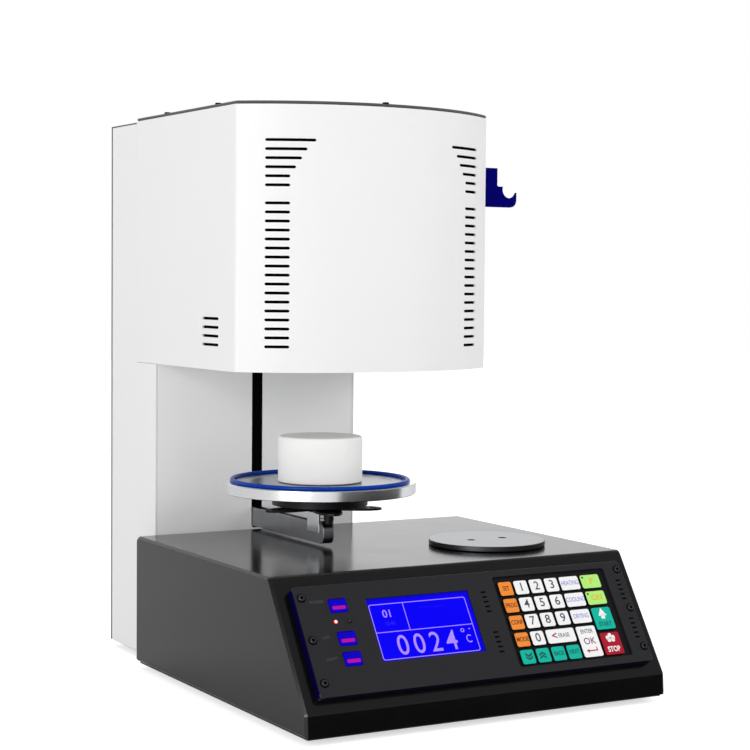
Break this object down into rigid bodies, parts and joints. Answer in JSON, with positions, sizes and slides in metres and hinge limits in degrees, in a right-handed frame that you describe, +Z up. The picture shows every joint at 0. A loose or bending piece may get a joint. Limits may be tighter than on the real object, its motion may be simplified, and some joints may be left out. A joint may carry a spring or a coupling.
{
  "type": "dental lab furnace",
  "caption": "Bench-top dental furnace with a lift that raises a firing plug into a heated head, a sloping keypad panel, a cooling plate and a tong hook.",
  "frame": {"origin": "on the ground under the middle of the whole furnace's box", "axes": "+Z up, -Y towards the person at the keypad, +X to that person's right"},
  "size_m": [0.3332, 0.4504, 0.4869],
  "materials": {
    "white_paint": "smooth white powder coat",
    "black_paint": "satin black powder coat",
    "panel_black": "matt black panel with deep blue edges",
    "screen": "lit blue display",
    "board": "printed circuit board",
    "black_plastic": "moulded black plastic",
    "dark_metal": "dark anodised",
    "steel": "bright steel",
    "turned_metal": "turned, bright",
    "seal": "blue silicone",
    "fibre": "white ceramic fibre",
    "winding": "oxidised resistance wire",
    "hook_navy": "navy powder coat",
    "rocker": "blue lit rocker",
    "key_white": "white key cap",
    "key_orange": "orange key cap",
    "key_green": "light green key cap",
    "key_teal": "teal key cap",
    "key_red": "red key cap"
  },
  "bodies": {
    "frame": {"base_housing": "black_paint", "base_tray": "black_paint", "control_panel": "panel_black", "display": "screen", "keypad_frame": "black_plastic", "control_board": "board", "power_unit": "dark_metal", "cooling_plate": "turned_metal", "tower_cover": "white_paint", "tower_front": "white_paint", "lift_frame": "steel", "lift_motor": "dark_metal", "hood": "white_paint", "hood_lid": "white_paint", "head_floor": "turned_metal", "chamber_casing": "steel", "muffle": "fibre", "heater_winding": "winding", "thermocouple": "fibre", "tong_hook": "hook_navy", "mains_inlet": "black_plastic", "vacuum_nozzle": "turned_metal"},
    "lift": {"lift_carriage": "turned_metal", "lift_arm": "steel", "arm_saddle": "steel", "carrier_star": "dark_metal", "lift_plate": "turned_metal", "seal_ring": "seal", "firing_plug": "fibre"},
    "screw": {"lead_screw": "steel"},
    "rocker_upper": {"rocker_upper": "rocker"},
    "rocker_middle": {"rocker_middle": "rocker"},
    "rocker_lower": {"rocker_lower": "rocker"},
    "key_menu_1_body": {"key_menu_1": "key_orange"},
    "key_menu_2_body": {"key_menu_2": "key_orange"},
    "key_menu_3_body": {"key_menu_3": "key_orange"},
    "key_menu_4_body": {"key_menu_4": "key_orange"},
    "key_digit_0_body": {"key_digit_0": "key_white"},
    "key_digit_1_body": {"key_digit_1": "key_white"},
    "key_digit_2_body": {"key_digit_2": "key_white"},
    "key_digit_3_body": {"key_digit_3": "key_white"},
    "key_digit_4_body": {"key_digit_4": "key_white"},
    "key_digit_5_body": {"key_digit_5": "key_white"},
    "key_digit_6_body": {"key_digit_6": "key_white"},
    "key_digit_7_body": {"key_digit_7": "key_white"},
    "key_digit_8_body": {"key_digit_8": "key_white"},
    "key_digit_9_body": {"key_digit_9": "key_white"},
    "key_erase_body": {"key_erase": "key_white"},
    "key_mode_1_body": {"key_mode_1": "key_white"},
    "key_mode_2_body": {"key_mode_2": "key_white"},
    "key_mode_3_body": {"key_mode_3": "key_white"},
    "key_program_1_body": {"key_program_1": "key_green"},
    "key_program_2_body": {"key_program_2": "key_green"},
    "key_down_body": {"key_down": "key_teal"},
    "key_up_body": {"key_up": "key_teal"},
    "key_back_body": {"key_back": "key_teal"},
    "key_next_body": {"key_next": "key_teal"},
    "key_enter_body": {"key_enter": "key_white"},
    "key_start_body": {"key_start": "key_teal"},
    "key_stop_body": {"key_stop": "key_red"}
  },
  "joints": [
    {"name": "lift_slide", "type": "slide", "parent": "frame", "child": "lift", "axis": [0, 0, 1], "range_m": [0, 0.0932]},
    {"name": "screw_turn", "type": "hinge", "parent": "frame", "child": "screw", "pos_m": [-0.048, 0.1615, 0.166], "axis": [0, 0, 1], "range_deg": [-4199, 0]},
    {"name": "rocker_upper_tip", "type": "hinge", "parent": "frame", "child": "rocker_upper", "pos_m": [-0.1187, -0.18362, 0.09456], "axis": [1, 0, 0], "range_deg": [-14, 0]},
    {"name": "rocker_middle_tip", "type": "hinge", "parent": "frame", "child": "rocker_middle", "pos_m": [-0.1187, -0.19865, 0.0719], "axis": [1, 0, 0], "range_deg": [-14, 0]},
    {"name": "rocker_lower_tip", "type": "hinge", "parent": "frame", "child": "rocker_lower", "pos_m": [-0.1187, -0.20782, 0.05806], "axis": [1, 0, 0], "range_deg": [-14, 0]},
    {"name": "key_menu_1_press", "type": "slide", "parent": "frame", "child": "key_menu_1_body", "axis": [0, 0.8334, -0.5526], "range_m": [0, 0.0012], "stiffness_N_per_m": 400},
    {"name": "key_menu_2_press", "type": "slide", "parent": "frame", "child": "key_menu_2_body", "axis": [0, 0.8334, -0.5526], "range_m": [0, 0.0012], "stiffness_N_per_m": 400},
    {"name": "key_menu_3_press", "type": "slide", "parent": "frame", "child": "key_menu_3_body", "axis": [0, 0.8334, -0.5526], "range_m": [0, 0.0012], "stiffness_N_per_m": 400},
    {"name": "key_menu_4_press", "type": "slide", "parent": "frame", "child": "key_menu_4_body", "axis": [0, 0.8334, -0.5526], "range_m": [0, 0.0012], "stiffness_N_per_m": 400},
    {"name": "key_digit_0_press", "type": "slide", "parent": "frame", "child": "key_digit_0_body", "axis": [0, 0.8334, -0.5526], "range_m": [0, 0.0012], "stiffness_N_per_m": 400},
    {"name": "key_digit_1_press", "type": "slide", "parent": "frame", "child": "key_digit_1_body", "axis": [0, 0.8334, -0.5526], "range_m": [0, 0.0012], "stiffness_N_per_m": 400},
    {"name": "key_digit_2_press", "type": "slide", "parent": "frame", "child": "key_digit_2_body", "axis": [0, 0.8334, -0.5526], "range_m": [0, 0.0012], "stiffness_N_per_m": 400},
    {"name": "key_digit_3_press", "type": "slide", "parent": "frame", "child": "key_digit_3_body", "axis": [0, 0.8334, -0.5526], "range_m": [0, 0.0012], "stiffness_N_per_m": 400},
    {"name": "key_digit_4_press", "type": "slide", "parent": "frame", "child": "key_digit_4_body", "axis": [0, 0.8334, -0.5526], "range_m": [0, 0.0012], "stiffness_N_per_m": 400},
    {"name": "key_digit_5_press", "type": "slide", "parent": "frame", "child": "key_digit_5_body", "axis": [0, 0.8334, -0.5526], "range_m": [0, 0.0012], "stiffness_N_per_m": 400},
    {"name": "key_digit_6_press", "type": "slide", "parent": "frame", "child": "key_digit_6_body", "axis": [0, 0.8334, -0.5526], "range_m": [0, 0.0012], "stiffness_N_per_m": 400},
    {"name": "key_digit_7_press", "type": "slide", "parent": "frame", "child": "key_digit_7_body", "axis": [0, 0.8334, -0.5526], "range_m": [0, 0.0012], "stiffness_N_per_m": 400},
    {"name": "key_digit_8_press", "type": "slide", "parent": "frame", "child": "key_digit_8_body", "axis": [0, 0.8334, -0.5526], "range_m": [0, 0.0012], "stiffness_N_per_m": 400},
    {"name": "key_digit_9_press", "type": "slide", "parent": "frame", "child": "key_digit_9_body", "axis": [0, 0.8334, -0.5526], "range_m": [0, 0.0012], "stiffness_N_per_m": 400},
    {"name": "key_erase_press", "type": "slide", "parent": "frame", "child": "key_erase_body", "axis": [0, 0.8334, -0.5526], "range_m": [0, 0.0012], "stiffness_N_per_m": 400},
    {"name": "key_mode_1_press", "type": "slide", "parent": "frame", "child": "key_mode_1_body", "axis": [0, 0.8334, -0.5526], "range_m": [0, 0.0012], "stiffness_N_per_m": 400},
    {"name": "key_mode_2_press", "type": "slide", "parent": "frame", "child": "key_mode_2_body", "axis": [0, 0.8334, -0.5526], "range_m": [0, 0.0012], "stiffness_N_per_m": 400},
    {"name": "key_mode_3_press", "type": "slide", "parent": "frame", "child": "key_mode_3_body", "axis": [0, 0.8334, -0.5526], "range_m": [0, 0.0012], "stiffness_N_per_m": 400},
    {"name": "key_program_1_press", "type": "slide", "parent": "frame", "child": "key_program_1_body", "axis": [0, 0.8334, -0.5526], "range_m": [0, 0.0012], "stiffness_N_per_m": 400},
    {"name": "key_program_2_press", "type": "slide", "parent": "frame", "child": "key_program_2_body", "axis": [0, 0.8334, -0.5526], "range_m": [0, 0.0012], "stiffness_N_per_m": 400},
    {"name": "key_down_press", "type": "slide", "parent": "frame", "child": "key_down_body", "axis": [0, 0.8334, -0.5526], "range_m": [0, 0.0012], "stiffness_N_per_m": 400},
    {"name": "key_up_press", "type": "slide", "parent": "frame", "child": "key_up_body", "axis": [0, 0.8334, -0.5526], "range_m": [0, 0.0012], "stiffness_N_per_m": 400},
    {"name": "key_back_press", "type": "slide", "parent": "frame", "child": "key_back_body", "axis": [0, 0.8334, -0.5526], "range_m": [0, 0.0012], "stiffness_N_per_m": 400},
    {"name": "key_next_press", "type": "slide", "parent": "frame", "child": "key_next_body", "axis": [0, 0.8334, -0.5526], "range_m": [0, 0.0012], "stiffness_N_per_m": 400},
    {"name": "key_enter_press", "type": "slide", "parent": "frame", "child": "key_enter_body", "axis": [0, 0.8334, -0.5526], "range_m": [0, 0.0012], "stiffness_N_per_m": 400},
    {"name": "key_start_press", "type": "slide", "parent": "frame", "child": "key_start_body", "axis": [0, 0.8334, -0.5526], "range_m": [0, 0.0012], "stiffness_N_per_m": 400},
    {"name": "key_stop_press", "type": "slide", "parent": "frame", "child": "key_stop_body", "axis": [0, 0.8334, -0.5526], "range_m": [0, 0.0012], "stiffness_N_per_m": 400}
  ],
  "couplings": [
    {"joint": "screw_turn", "follows": "lift_slide", "rad_per_m": -785.4}
  ]
}
